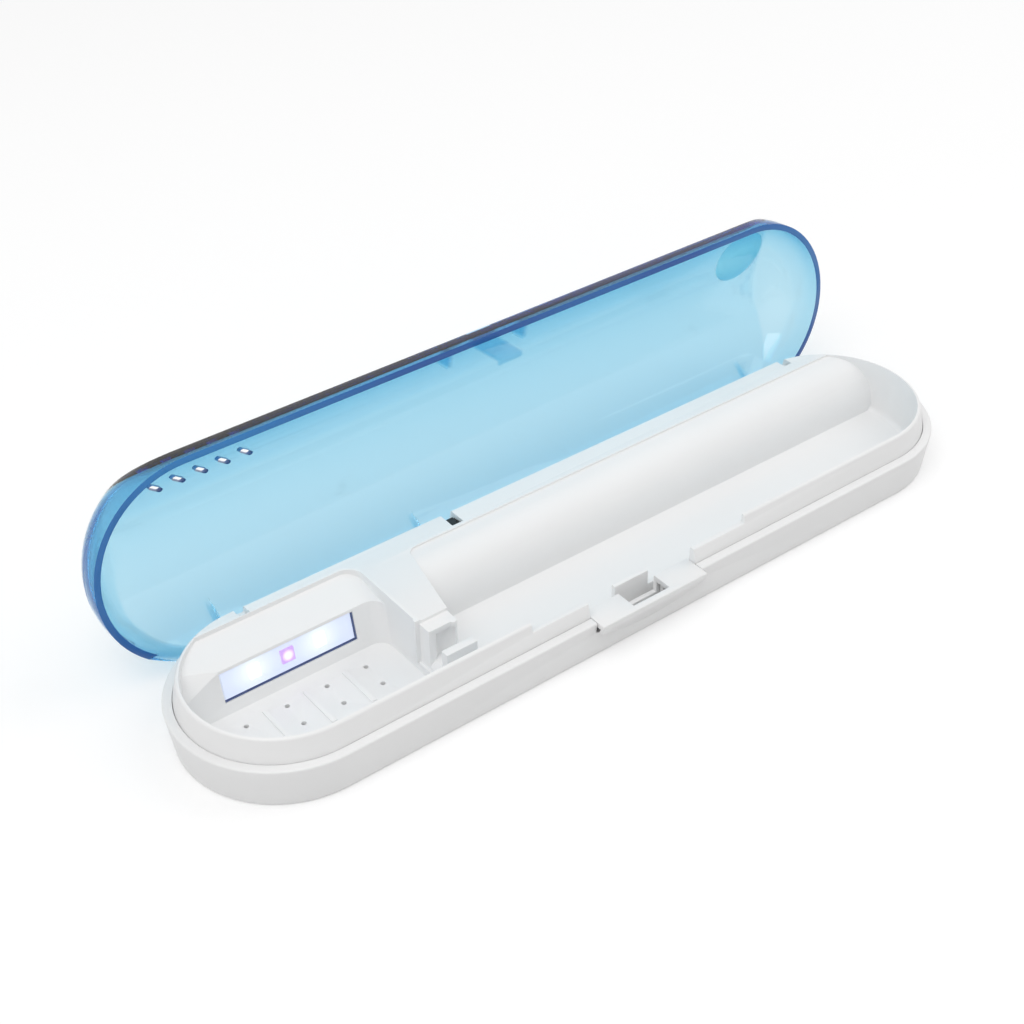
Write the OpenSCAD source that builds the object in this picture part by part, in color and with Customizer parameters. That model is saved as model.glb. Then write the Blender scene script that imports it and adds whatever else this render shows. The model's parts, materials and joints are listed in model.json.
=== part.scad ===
// Travel case for an electric toothbrush, with a light chamber for the brush head.
// The origin is the centre of the flat underside, X runs along the case, the hinge is at +Y.
// The lid is drawn open, as it stands when the case is in use.

/* [Case] */
// Overall length of the case
case_len = 236; // [225:1:260]
// Overall width of the case
case_w = 56; // [54:0.5:62]
// Height of the ledge that the lid closes onto
ledge_h = 11.7; // [11:0.1:14]
// Width of the ledge, from the side to the raised collar
ledge_w = 2.5; // [2.3:0.1:3]
// Side wall of the lower shell
shell_wall = 1.8; // [1.5:0.1:2.1]
// Floor of the lower shell
shell_floor = 1.6; // [1.4:0.1:1.8]
// How far the side leans in between the ledge and the underside
side_lean = 1.2; // [0.6:0.1:1.4]
// Radius between the side and the underside
foot_r = 1; // [0.6:0.1:1.4]
// Radius of the ledge's outer edge
ledge_edge_r = 0.5; // [0.3:0.1:0.7]

/* [Tray] */
// Rise of the collar above the ledge
collar_rise = 6.3; // [5.8:0.1:7]
// How far the collar leans in over its height
collar_lean = 1.2; // [0.8:0.1:1.4]
// Radius of the collar's top edge
rim_edge_r = 0.8; // [0.5:0.1:1]
// Distance from the case's side to the inner edge of the rim
rim_inset = 4.6; // [4.4:0.1:5.2]
// Wall thickness of the tray
tray_wall = 1.5; // [1.2:0.1:1.6]
// Height of the tray's floors
tray_floor_z = 3; // [2.9:0.1:3.6]
// How far the inner walls lean between rim and floor
inner_lean = 0.8; // [0.4:0.1:1.2]
// Radius where the inner walls meet the floors
floor_r = 1.6; // [0.8:0.1:2]
// Clearance between the tray and the lower shell
tray_gap = 0.15; // [0.1:0.05:0.25]

/* [Head chamber] */
// Length of the chamber, from the left end of the case
chamber_len = 61; // [59:0.5:62]
// Radius of the chamber's rear right corner
chamber_corner_r = 4.5; // [3:0.5:6]
// Width of the bead along the chamber's edge
bead_w = 1.2; // [0.8:0.1:1.6]
// Height of the bead along the chamber's edge
bead_h = 0.35; // [0.2:0.05:0.5]
// Distance from the rear rim to the case's rear side
chamber_back = 7.5; // [7:0.5:9]
// Distance from the foot of the light panel to the case's rear side
panel_inset = 20.1; // [19.5:0.1:21]
// Lean of the light panel from the vertical, in degrees
panel_tilt = 11; // [8:1:13]
// Height of the shelf above the light panel
shelf_z = 14.9; // [14.6:0.1:15.4]
// Drop of the shelf's rear edge below the rim
shelf_drop = 0.9; // [0.5:0.1:1.4]
// Distance from the left end to the end of the light panel
panel_end_gap = 16; // [15:0.5:18]
// Radius of the corner at the right end of the light panel
panel_corner_r = 4; // [3:0.5:5]
// Slope of the bevel that widens to the left of the light panel, in degrees
bevel_slope = 20; // [12:1:22]
// Length of the window in the light panel
window_len = 36.8; // [34:0.2:38]
// Height of the window in the light panel
window_h = 8; // [7:0.2:8.4]
// Thickness of the window
window_t = 0.6; // [0.5:0.05:0.7]
// Diameter of a drain hole
drain_d = 1.3; // [1:0.1:1.8]
// Distance between drain holes along the case
drain_pitch = 11.1; // [9:0.1:12]
// Distance between the two rows of drain holes
drain_rows = 7.4; // [6:0.1:9]
// Width of a raised rib on the chamber's floor
floor_rib_w = 1.4; // [0.8:0.1:2]
// Height of a raised rib on the chamber's floor
floor_rib_h = 0.4; // [0.2:0.05:0.6]

/* [Neck slot] */
// Length of the block between the chamber and the handle trough
neck_len = 10; // [9:0.5:12]
// Height of the neck slot's floor
neck_floor_z = 7.8; // [7.4:0.1:8.4]
// Height of the neck slot's edge at the chamber
neck_edge_z = 5.5; // [5:0.1:6.5]
// Distance from the long axis to the front edge of the deck
deck_front = 6.9; // [6:0.1:7.5]
// Depth of the clip block in front of the deck
clip_depth = 3.9; // [3.5:0.1:4.3]
// Drop of the clip block's top below the deck
clip_drop = 0.8; // [0.4:0.1:1.2]
// Thickness of the front clip tab
tab_t = 2.2; // [1.8:0.1:2.6]
// Length of the front clip tab
tab_len = 8.8; // [7:0.1:9]
// Height of the front clip tab's top
tab_z = 15.2; // [14:0.1:16]
// Clear gap of the neck slot between block and tab
neck_gap = 5.4; // [5:0.1:5.8]
// Radius of the hollow in the clip block
clip_hollow_r = 2.8; // [2.4:0.1:3]

/* [Handle trough] */
// Distance from the hump's axis to the case's rear side
hump_inset = 11; // [10.6:0.1:11.4]
// Radius of the hump's rounded shoulder
hump_r = 12.5; // [12:0.1:13]
// Step from the rim down to the top of the hump
hump_step = 0.6; // [0.4:0.1:1]
// Distance from the hump's axis to the step behind it
hump_back = 0.5; // [0.3:0.1:1]
// Slant of the trough's left wall across the case
trough_slant = 5.5; // [4:0.1:6]
// Radius of the trough's rear left corner
trough_corner_r = 3; // [2:0.1:4]

/* [Lid] */
// Rise of the closed lid above the ledge
lid_rise = 18; // [17:0.1:20]
// Wall thickness of the lid
lid_wall = 1.7; // [1.5:0.1:1.9]
// Height of the straight skirt at the lid's rim
lid_skirt = 4.4; // [4.3:0.1:5]
// Radius of the lid's rounded ends
lid_end_r = 14; // [12:0.5:14]
// Gap between the closed lid and the ledge
lid_gap = 0.3; // [0.2:0.05:0.4]
// Opening angle of the lid, in degrees
lid_open = 95; // [92:1:98]
// Number of vent slots in the lid
vent_count = 5; // [3:1:6]
// Distance between vent slots
vent_pitch = 6.2; // [5:0.1:6.5]
// Length of a vent slot
vent_len = 4.6; // [3:0.1:5]
// Width of a vent slot
vent_w = 1.3; // [1:0.1:1.6]
// Slant of a vent slot, in degrees
vent_slant = 50; // [40:1:60]
// Distance from the left end to the first vent slot
vent_start = 24.7; // [24:0.1:30]
// Distance from the front side to the row of vent slots
vent_inset = 12.9; // [12:0.1:15]
// Diameter of the round badge on the lid
badge_d = 17.6; // [14:0.1:18]
// Thickness of the badge
badge_t = 0.8; // [0.6:0.1:1]
// Distance from the right end to the badge's centre
badge_end = 19; // [18:0.5:24]
// Distance from the front side to the badge's centre
badge_inset = 16; // [15.5:0.5:20]
// Thickness of the lid's small ribs
fin_t = 1.6; // [1:0.1:1.8]
// Reach of the rear ribs from the case's rear side
rear_fin_reach = 13; // [11:0.5:14]
// Reach of the front ribs from the case's front side
front_fin_reach = 6.4; // [5:0.1:7]
// Distance of each front rib from the catch
front_fin_x = 12; // [11:0.1:13]

/* [Hinge] */
// Distance of the hinge axis from the case's rear side
hinge_inset = 3.6; // [3.4:0.05:3.8]
// Drop of the hinge axis below the ledge
hinge_drop = 6.7; // [6.6:0.05:6.9]
// Distance of each hinge from the end of the case
hinge_end = 35; // [33:0.5:38]
// Width of a hinge lug
lug_w = 8; // [6:0.5:9]
// Radius of a hinge lug's barrel
lug_r = 2.4; // [2.2:0.05:2.5]
// Radius of a hinge pin
pin_r = 1; // [0.8:0.05:1.2]
// Width of each ear beside a lug
ear_w = 3; // [2:0.5:3.5]
// Clearance between a lug and its ears, each side
lug_gap = 0.3; // [0.25:0.05:0.4]
// Radial clearance of the pin in the ears
ear_fit = 0.03; // [0.02:0.01:0.05]
// Radial clearance of the pin in the lug
lug_fit = 0.08; // [0.06:0.01:0.1]

/* [Latch] */
// Distance of the latch from the middle of the case, to the left
latch_left = 1.8; // [0:0.1:3]
// Length of the latch button
button_len = 33.6; // [30:0.2:36]
// Thickness of the button's top plate
button_t = 1.5; // [1.3:0.1:1.6]
// Thickness of the button's front lip
lip_t = 0.8; // [0.6:0.1:1]
// How far the button stands out of the front side
button_proud = 2.2; // [1.8:0.1:2.4]
// Depth of the button's top plate, front to rear
button_depth = 7.7; // [7.2:0.1:7.8]
// Height of the lowest point of the button's curved apron
apron_z = 4.6; // [4.2:0.1:5]
// Thickness of the button's apron
apron_t = 0.9; // [0.7:0.1:1]
// How far the apron slants in over its height
apron_lean = 2.8; // [2.4:0.1:2.9]
// Distance between the grip nubs under the lip
nub_pitch = 8.8; // [7:0.1:9.5]
// Width of the notch for the catch
notch_w = 11.6; // [11:0.1:13]
// Clearance round the button
button_gap = 0.3; // [0.25:0.05:0.4]
// Travel of the button
button_travel = 1.2; // [0.9:0.1:1.3]
// Width of the button's front bar
front_bar = 1.8; // [1.4:0.1:2]
// Depth of the catch bar below the top plate
bar_drop = 3; // [2.8:0.1:3.1]
// Height of the catch bar
bar_h = 1.8; // [1.6:0.1:1.9]
// Thickness of the catch bar
bar_t = 1.2; // [1:0.1:1.3]
// Width of the lid's catch
catch_w = 7.4; // [6:0.1:8]
// Thickness of the catch's stem
catch_t = 1.2; // [1:0.1:1.3]
// How far the catch's barb reaches under the button's bar
barb_reach = 1.1; // [1:0.05:1.2]
// Length of the lowered collar to the left of the latch
low_left = 17; // [15:0.5:19]
// Length of the lowered collar to the right of the latch
low_right = 17.5; // [15:0.5:19]
// Height of the lowered collar
low_z = 15.6; // [15:0.1:16.4]
// Thickness of the button's two leaf springs
leaf_t = 0.3; // [0.25:0.05:0.4]
// Length of a leaf spring
leaf_len = 7.2; // [6:0.2:8]
// Width of a leaf spring
leaf_w = 1.2; // [1:0.1:1.3]
// Distance of each leaf spring from the catch
leaf_x = 10.5; // [10:0.5:11]

/* [Lid switch] */
// Distance of the switch from the middle of the control board, to the right
switch_off = 0.85; // [0:0.05:1.5]
// Distance of the switch from the case's rear side
switch_inset = 7.1; // [6.8:0.1:7.4]
// Width of the switch's plunger
plunger_w = 2.2; // [1.8:0.1:2.4]
// Depth of the plunger, front to rear
plunger_d = 4; // [3:0.1:4.2]
// Travel of the plunger
plunger_travel = 1.5; // [1:0.1:1.8]
// Size of the switch's square body
switch_body_w = 6; // [5.6:0.1:6.4]
// Clearance round the plunger
plunger_gap = 0.3; // [0.25:0.05:0.35]
// Distance of the left rear notch from the left end
notch_left = 30.6; // [29:0.1:32]
// Distance of the right rear notch from the right end
notch_right = 25; // [24:0.5:27]
// Width of a rear notch
rear_notch_w = 2.8; // [2.4:0.1:3.2]
// Depth of a rear notch below the rim
rear_notch_h = 2.2; // [1.6:0.1:2.6]

/* [Battery] */
// Diameter of a battery cell, size AAA
cell_d = 10.5; // [10.5:0.1:10.6]
// Length of a battery cell, with its nub
cell_len = 44.5; // [44.5:0.1:44.6]
// Distance of the cells' axis from the case's rear side
cell_inset = 12.5; // [12.3:0.1:12.8]
// Distance from the battery bay to the right end of the case
bay_end = 19.1; // [18:0.5:22]
// Length of the battery's coil spring
coil_len = 5.5; // [5:0.1:6]
// Thickness of a contact plate
contact_t = 0.5; // [0.3:0.1:0.6]
// Thickness of the battery door
door_t = 1.2; // [1:0.1:1.3]
// Width of the battery door
door_w = 13.4; // [12.8:0.1:13.4]
// Clearance round and above the battery door
door_gap = 0.2; // [0.15:0.05:0.25]
// Travel of the battery door before it lifts off
door_travel = 7; // [5:0.5:8]
// Length of the door's seat beyond each end of the battery bay
door_seat = 2; // [1.5:0.5:2.5]

/* [Boards and screws] */
// Clearance between the control board and the boss of the neck screw
board_gap = 2.6; // [1:0.1:4]
// Clearance between the control board and the pad of the battery bay
pad_gap = 1; // [0.6:0.1:2]
// Width of the control board
board_w = 13; // [12:0.5:13.5]
// Thickness of the boards
board_t = 1; // [0.8:0.1:1.2]
// Height of the control board's underside
board_z = 4.2; // [3.8:0.1:4.6]
// Length of the driver chip
chip_l = 5; // [4:0.5:6]
// Diameter of the round capacitor
cap_d = 4; // [3:0.5:5]
// Height of the round capacitor
cap_h = 5; // [4:0.5:6]
// Diameter of a board screw's head
board_screw_d = 3.2; // [3:0.1:3.6]
// Length of a board screw below its head
board_screw_len = 3.2; // [2.6:0.1:3.4]
// Radius of a case screw's shank
screw_r = 1.1; // [1:0.05:1.2]
// Radius of a case screw's head
screw_head_r = 2.1; // [2:0.05:2.2]
// Height of a case screw's head
screw_head_h = 1.2; // [1:0.1:1.4]
// Length of a case screw below the head
screw_len = 9; // [8:0.5:10]
// Distance of the right screw from the right end
screw_end = 13; // [12.5:0.5:14]
// Height where the shell's bosses meet the tray's
boss_z = 7; // [6.4:0.1:7.6]
// Size of the violet LED's square package
uvc_size = 3.5; // [3:0.1:4]
// Width of a side LED's package
side_led_w = 2.8; // [2:0.1:3]
// Height of the LED packages
led_t = 0.7; // [0.5:0.05:0.8]
// Distance from the violet LED to each side LED
led_pitch = 9.1; // [8:0.1:10]
// Radius of a wire
wire_r = 0.5; // [0.4:0.05:0.6]
// Length of a wire's straight run at the end of the control board
wire_run = 4; // [3:0.5:5]

/* [Hidden] */
over = 1;
seat = 0.2;
half_w = case_w / 2;
spine = case_len - case_w;
rim_z = ledge_h + collar_rise;
tray_w = half_w - ledge_w;
tray_z = shell_floor + seat;
inner_w = half_w - rim_inset;
flange_z = ledge_h - shell_floor;
latch_x = -latch_left;
chamber_x = -case_len / 2 + chamber_len;
panel_foot_y = half_w - panel_inset;
hump_y = half_w - hump_inset;
hump_foot_y = hump_y - hump_r;
hump_back_y = hump_y + hump_back;
cell_y = half_w - cell_inset;
rear_notch_x = [-case_len / 2 + notch_left, case_len / 2 - notch_right];
hinge_x = case_len / 2 - hinge_end;
hinge_y = half_w - hinge_inset;
hinge_z = ledge_h - hinge_drop;
shell_white = [0.93, 0.93, 0.94];
tray_white = [0.95, 0.95, 0.95];
lid_blue = [0.55, 0.82, 0.93, 0.45];
steel = [0.75, 0.76, 0.78];
board_green = [0.1, 0.4, 0.25];

// Points of an arc from angle a to angle b
function arc_points(x, y, r, a, b, n = 6) =
    [for (i = [0:n]) [x + r * cos(a + (b - a) * i / n), y + r * sin(a + (b - a) * i / n)]];

// A round-ended body: the child is half of its cross-section, from the spine outwards
module slot_body(fine = 128) {
    for (side = [-1, 1])
        translate([side * spine / 2, 0, 0])
            rotate_extrude($fn = fine)
                children();
    rotate([90, 0, 90])
        translate([0, 0, -spine / 2])
            linear_extrude(spine) {
                children();
                mirror([1, 0]) children();
            }
}

// A box given by its lowest and highest corners
module span(low, high) {
    translate(low) cube(high - low);
}

// An outline in Y and Z, drawn out along X
module bar(x0, x1) {
    translate([x0, 0, 0])
        rotate([90, 0, 90])
            linear_extrude(x1 - x0)
                children();
}

// A round wire through a list of points, none of them straight above the last
module wire(points, r, sides = 8) {
    last = len(points) - 1;
    rings = [for (i = [0:last])
        let (along = points[min(i + 1, last)] - points[max(i - 1, 0)],
             flat = cross(along, [0, 0, 1]),
             across = flat / norm(flat),
             up = cross(across, along) / norm(along))
        for (k = [0:sides - 1])
            points[i] + r * (across * cos(360 * k / sides) + up * sin(360 * k / sides))];
    tube(rings, last, sides);
}

// An open coil spring standing on Z = 0
module coil(radius, wire_radius, turns, height) {
    sides = 6;
    steps = 12 * turns;
    rise = height - 2 * wire_radius;
    rings = [for (i = [0:steps])
        let (turn = 360 * turns * i / steps)
        for (k = [0:sides - 1])
            [cos(turn), sin(turn), 0] * (radius + wire_radius * cos(360 * k / sides))
            + [0, 0, wire_radius * (1 - sin(360 * k / sides)) + rise * i / steps]];
    tube(rings, steps, sides);
}

// A closed skin over rings of points that follow one another
module tube(rings, steps, sides) {
    walls = [for (i = [0:steps - 1], k = [0:sides - 1])
        let (a = i * sides + k,
             b = i * sides + (k + 1) % sides)
        for (f = [[a, a + sides, b], [b, a + sides, b + sides]]) f];
    first = [for (k = [1:sides - 2]) [0, k, k + 1]];
    last = [for (k = [1:sides - 2]) [steps * sides, steps * sides + k + 1, steps * sides + k]];
    polyhedron(rings, concat(walls, first, last));
}

// A smooth curve through a list of points, with n steps between each two
function smooth(points, n = 5) = concat(
    [for (i = [0:len(points) - 2], j = [0:n - 1])
        let (t = j / n,
             p0 = points[max(i - 1, 0)],
             p1 = points[i],
             p2 = points[i + 1],
             p3 = points[min(i + 2, len(points) - 1)])
        p1 + (p2 - p0) * t / 2 + (2 * p0 - 5 * p1 + 4 * p2 - p3) * t * t / 2
        + (3 * p1 - p0 - 3 * p2 + p3) * pow(t, 3) / 2],
    [points[len(points) - 1]]);

// Lower shell

foot_w = half_w - side_lean;
shell_outer = concat(
    [[0, 0]],
    arc_points(foot_w - foot_r, foot_r, foot_r, -90, 0),
    arc_points(half_w - ledge_edge_r, ledge_h - ledge_edge_r, ledge_edge_r, 0, 90, 4),
    [[0, ledge_h]]);
shell_inner = [
    [0, shell_floor],
    [foot_w - shell_wall, shell_floor],
    [half_w - shell_wall, flange_z],
    [tray_w + tray_gap, flange_z],
    [tray_w + tray_gap, ledge_h + over],
    [0, ledge_h + over]];

boss_r = screw_head_r + 0.9;
tray_boss_r = screw_r + 1.5;
neck_x = chamber_x + neck_len / 2;
screw_places = [
    [-case_len / 2 + screw_end + 8, hump_back_y],
    [neck_x + 0.5, hump_back_y - 1.5],
    [neck_x, 4 - deck_front],
    [case_len / 2 - screw_end, cell_y - 2.5]];
head_z = shell_floor - screw_head_h;

// Battery door and bay
door_z = 0.1;
pad_z = door_z + door_t + door_gap + 1.2;
bay_len = coil_len + 2 * cell_len + 2 * contact_t + 0.4;
bay_w = cell_d + 0.9;
bay_x = case_len / 2 - bay_end - bay_len;
door_x0 = bay_x - door_seat;
door_x1 = bay_x + bay_len + door_seat;
cell_z = door_z + door_t + 0.3 + cell_d / 2;
pad_x0 = door_x0 - door_travel - 1.6;

// Control board, between the neck screw and the battery bay
board_x0 = screw_places[1][0] + boss_r + board_gap;
board_x1 = pad_x0 - pad_gap;
board_x = (board_x0 + board_x1) / 2;
board_y = cell_y + 0.5;
board_hole_x = (board_x1 - board_x0) / 2 - 2.2;
switch_x = board_x + switch_off;

// Latch button
button_z = ledge_h - button_t;
button_front = -half_w - button_proud;
button_rear = button_front + button_depth;
apron_drop = ledge_h - 2.9 - apron_z;
apron_radius = (pow(button_len / 2, 2) + pow(apron_drop, 2)) / (2 * apron_drop);
wall_top = button_z - button_gap;

module apron_outline(grow) {
    intersection() {
        translate([0, apron_z + apron_radius])
            circle(r = apron_radius + grow, $fn = 180);
        translate([-button_len / 2 - grow, apron_z - grow - over])
            square([button_len + 2 * grow, ledge_h - lip_t / 2 - apron_z + grow + over]);
    }
}

module latch_cut() {
    translate([latch_x, -half_w + shell_wall + side_lean + over, 0])
        rotate([90, 0, 0])
            linear_extrude(shell_wall + side_lean + 2 * over)
                apron_outline(button_gap);
    span([latch_x - button_len / 2 - button_gap, -half_w - over, wall_top],
         [latch_x + button_len / 2 + button_gap, -tray_w + over, ledge_h + over]);
}

// Slots in the rear wall for the hinge lugs, which come through the floor's edge when the lid is open
module hinge_slots() {
    half = lug_w / 2 + lug_gap;
    for (side = [-1, 1]) {
        span([side * hinge_x - half, hinge_y - lug_r - lug_gap, shell_floor],
             [side * hinge_x + half, half_w + over, ledge_h + over]);
        span([side * hinge_x - half, hinge_y + 1.2, -over],
             [side * hinge_x + half, half_w + over, ledge_h + over]);
    }
}

ear_top = hinge_z + lug_r;
module hinge_ears() {
    for (side = [-1, 1], end = [-1, 1]) {
        inner = lug_w / 2 + lug_gap;
        x0 = side * hinge_x + (end > 0 ? inner : -inner - ear_w);
        span([x0, hinge_y - lug_r, shell_floor - 0.2], [x0 + ear_w, foot_w - shell_wall + 0.8, ear_top]);
    }
}

module pin_bore(x, r, length) {
    translate([x - length / 2, hinge_y, hinge_z])
        rotate([0, 90, 0])
            cylinder(r = r, h = length, $fn = 48);
}

module lower_shell() {
    color(shell_white)
    difference() {
        union() {
            difference() {
                slot_body() polygon(shell_outer);
                slot_body() polygon(shell_inner);
            }
            intersection() {
                span([pad_x0, hump_foot_y + tray_wall + 0.2, shell_floor - 0.2],
                     [door_x1 + 1.6, tray_w, pad_z]);
                slot_body() square([tray_w - side_lean - tray_wall - 0.2, pad_z]);
            }
            for (p = screw_places)
                translate([p[0], p[1], shell_floor - 0.2])
                    cylinder(r = boss_r, h = boss_z - shell_floor + 0.2, $fn = 48);
            for (x = [-1, 1])
                translate([board_x + x * board_hole_x, board_y, shell_floor - 0.2])
                    cylinder(r = 1.9, h = board_z - shell_floor + 0.2, $fn = 36);
            hinge_ears();
        }
        latch_cut();
        hinge_slots();
        for (side = [-1, 1])
            pin_bore(side * hinge_x, pin_r + ear_fit, lug_w + 2 * lug_gap + 2 * ear_w + 2 * over);
        span([door_x0 - door_travel - door_gap, cell_y - door_w / 2 - door_gap, -over],
             [door_x1 + door_gap, cell_y + door_w / 2 + door_gap, door_z + door_t + door_gap]);
        span([bay_x, cell_y - bay_w / 2, 0], [bay_x + bay_len, cell_y + bay_w / 2, pad_z + over]);
        for (p = screw_places) {
            translate([p[0], p[1], -over])
                cylinder(r = screw_head_r + 0.2, h = over + head_z + screw_head_h, $fn = 48);
            translate([p[0], p[1], -over])
                cylinder(r = screw_r + 0.3, h = boss_z + 2 * over, $fn = 48);
        }
        for (x = [-1, 1])
            translate([board_x + x * board_hole_x, board_y, shell_floor])
                cylinder(r = 0.8, h = board_z, $fn = 36);
    }
}

// Inner tray

tray_profile = concat(
    [[0, tray_z],
     [tray_w - side_lean, tray_z],
     [tray_w, flange_z],
     [tray_w, ledge_h]],
    arc_points(tray_w - collar_lean - rim_edge_r, rim_z - rim_edge_r, rim_edge_r, 0, 90, 5),
    [[0, rim_z]]);

function inner_profile(grow) = concat(
    [[0, tray_floor_z - grow]],
    arc_points(inner_w - inner_lean - floor_r, tray_floor_z + floor_r, floor_r + grow, -90, 0, 5),
    [[inner_w + grow, rim_z + over], [0, rim_z + over]]);

panel_top_y = panel_foot_y + (shelf_z - tray_floor_z) * tan(panel_tilt);
panel_x0 = -case_len / 2 + panel_end_gap;
chamber_back_y = half_w - chamber_back;
window_z = (shelf_z + tray_floor_z) / 2 + 1.2;
window_y = panel_foot_y + (window_z - tray_floor_z) * tan(panel_tilt);
window_x = (panel_x0 + chamber_x) / 2 - 3.2;

// The chamber: the space over the shelf, the space in front of the light panel and the bevel beside it
module chamber_space(grow) {
    intersection() {
        union() {
            bar(-case_len / 2, chamber_x + grow)
                polygon([
                    [-half_w, shelf_z - grow * 0.9],
                    [panel_top_y, shelf_z - grow * 0.9],
                    [chamber_back_y + grow, rim_z - shelf_drop - grow * 0.9],
                    [chamber_back_y + grow, rim_z + over],
                    [-half_w, rim_z + over]]);
            translate([0, panel_foot_y, tray_floor_z])
                rotate([-panel_tilt, 0, 0])
                    translate([0, 0, -case_w / 4])
                        linear_extrude(case_w / 4 + rim_z)
                            rounded_end(0, panel_corner_r, grow);
            translate([panel_x0 + 1, panel_top_y, shelf_z])
                rotate([0, -bevel_slope, 0])
                    rotate([45, 0, 0])
                        span([-case_w, -case_w / 4, -grow], [0, case_w / 4, case_w / 4]);
        }
        translate([0, 0, -over])
            linear_extrude(rim_z + 3 * over)
                chamber_outline(grow);
    }
}

// An area in front of the line Y = rear that ends at the chamber's right wall in a round corner
module rounded_end(rear, corner, grow) {
    polygon(concat(
        [[-case_len / 2, -case_w], [chamber_x + grow, -case_w]],
        arc_points(chamber_x - corner, rear - corner, corner + grow, 0, 90, 8),
        [[-case_len / 2, rear + grow]]));
}

// The chamber seen from above: its rear right corner is round
module chamber_outline(grow) {
    rounded_end(chamber_back_y, chamber_corner_r, grow);
}

// The slot for the brush's neck, between clip block and collar, and the narrow step beside the chamber
module neck_space(grow) {
    front = -deck_front - clip_depth;
    rise = neck_floor_z - neck_edge_z;
    slope_shift = grow * (sqrt(2) - 1);
    translate([0, front + grow, 0])
        rotate([90, 0, 0])
            linear_extrude(half_w)
                polygon([
                    [chamber_x - grow - over, neck_edge_z - grow],
                    [chamber_x + slope_shift, neck_edge_z - grow],
                    [chamber_x + rise + slope_shift, neck_floor_z - grow],
                    [trough_x + trough_slant + over, neck_floor_z - grow],
                    [trough_x + trough_slant + over, rim_z + over],
                    [chamber_x - grow - over, rim_z + over]]);
    span([chamber_x - over, front - over, neck_edge_z - grow],
         [block_x0 + grow, -deck_front + grow, rim_z + over]);
}

trough_x = chamber_x + neck_len - 0.5;
shoulder_z = rim_z - hump_step - hump_r;
trough_end_x = spine / 2 + inner_w + 4;

// The trough for the brush's handle, in front of the battery hump
module trough_space(grow) {
    intersection() {
        bar(trough_x - trough_slant, trough_end_x)
            polygon(concat(
                [[-half_w, tray_floor_z - grow - over],
                 [hump_foot_y + grow, tray_floor_z - grow - over]],
                arc_points(hump_y, shoulder_z, hump_r - grow, 180, 90, 14),
                [[hump_back_y + grow, rim_z - hump_step - grow],
                 [hump_back_y + grow, rim_z + over],
                 [-half_w, rim_z + over]]));
        translate([0, 0, -over])
            linear_extrude(rim_z + 3 * over)
                trough_outline(grow);
    }
}

// The trough seen from above: a slanted left wall with a round rear corner
module trough_outline(grow) {
    rear_x = trough_x + trough_slant * 0.9;
    front_x = trough_x - trough_slant * 0.1;
    turn = atan(trough_slant / (hump_back_y + deck_front));
    polygon(concat(
        [[front_x - 1 - grow, -half_w],
         [front_x - grow, -deck_front]],
        arc_points(rear_x + trough_corner_r - trough_corner_r * sin(turn), hump_back_y - trough_corner_r,
                   trough_corner_r + grow, 180, 90, 6),
        [[trough_end_x, hump_back_y + grow],
         [trough_end_x, -half_w]]));
}

module tray_spaces(grow) {
    intersection() {
        slot_body() polygon(inner_profile(grow));
        union() {
            chamber_space(grow);
            neck_space(grow);
            trough_space(grow);
        }
    }
}

// The hollow underside, one wall away from everything above it
module tray_hollow() {
    difference() {
        slot_body()
            polygon([
                [0, tray_z - over],
                [tray_w - side_lean - tray_wall, tray_z - over],
                [tray_w - tray_wall, flange_z],
                [tray_w - tray_wall, ledge_h],
                [tray_w - tray_wall - collar_lean, rim_z - tray_wall],
                [0, rim_z - tray_wall]]);
        tray_spaces(tray_wall);
        for (p = screw_places)
            translate([p[0], p[1], boss_z + seat])
                cylinder(r = tray_boss_r, h = rim_z, $fn = 48);
    }
}

tab_y = -deck_front - clip_depth - neck_gap;
well_rear = button_rear + button_travel + 0.3;

block_x0 = chamber_x + 0.8;
block_x1 = trough_x - 0.6;

// The tab in front of the neck slot, and a nub on the clip block
module clip_pieces() {
    span([block_x0 - 0.2, tab_y - tab_t, neck_floor_z - 0.5], [block_x0 - 0.2 + tab_len, tab_y, tab_z]);
    translate([block_x1 - 0.9, -deck_front - clip_depth + 0.3, neck_floor_z - 0.5])
        cylinder(r = 1, h = rim_z - clip_drop - neck_floor_z + 0.5, $fn = 36);
}

// The hollow in the clip block's front, and its top a step below the deck
module clip_cuts() {
    front = -deck_front - clip_depth;
    span([chamber_x - over, front - over, rim_z - clip_drop],
         [trough_x + trough_slant, -deck_front, rim_z + over]);
    translate([(block_x0 + block_x1) / 2 + 0.4, front - clip_hollow_r / 2, neck_floor_z])
        cylinder(r = clip_hollow_r, h = rim_z - clip_drop - 1.6 - neck_floor_z, $fn = 48);
}

// A low bead that follows the chamber's rear and right edges and runs out at the rim
module chamber_bead() {
    intersection() {
        translate([0, 0, rim_z - 0.5])
            linear_extrude(0.5 + bead_h)
                intersection() {
                    difference() {
                        chamber_outline(bead_w);
                        chamber_outline(0);
                    }
                    translate([-case_len / 2, -deck_front])
                        square([case_len, case_w]);
                }
        slot_body() square([tray_w - collar_lean - rim_edge_r, rim_z + over]);
    }
    span([chamber_x - bead_h, -deck_front, neck_edge_z],
         [chamber_x + 0.1, -deck_front + bead_w, rim_z + bead_h]);
}

module latch_well() {
    span([latch_x - notch_w / 2 - 2.4, -inner_w - 0.4, tray_floor_z - 0.5],
         [latch_x + notch_w / 2 + 2.4, well_rear + 1.3, wall_top - 1.6]);
    span([latch_x - notch_w / 2 + 0.2, well_rear, tray_floor_z - 0.5],
         [latch_x + notch_w / 2 - 0.6, well_rear + 1.3, ledge_h + 1]);
}

module drain_holes() {
    for (i = [0:3], j = [0, 1])
        translate([window_x + (i - 1.5) * drain_pitch - 0.4, 2.1 - j * drain_rows, tray_z - over])
            cylinder(r = drain_d / 2, h = tray_floor_z, $fn = 24);
}

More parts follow.
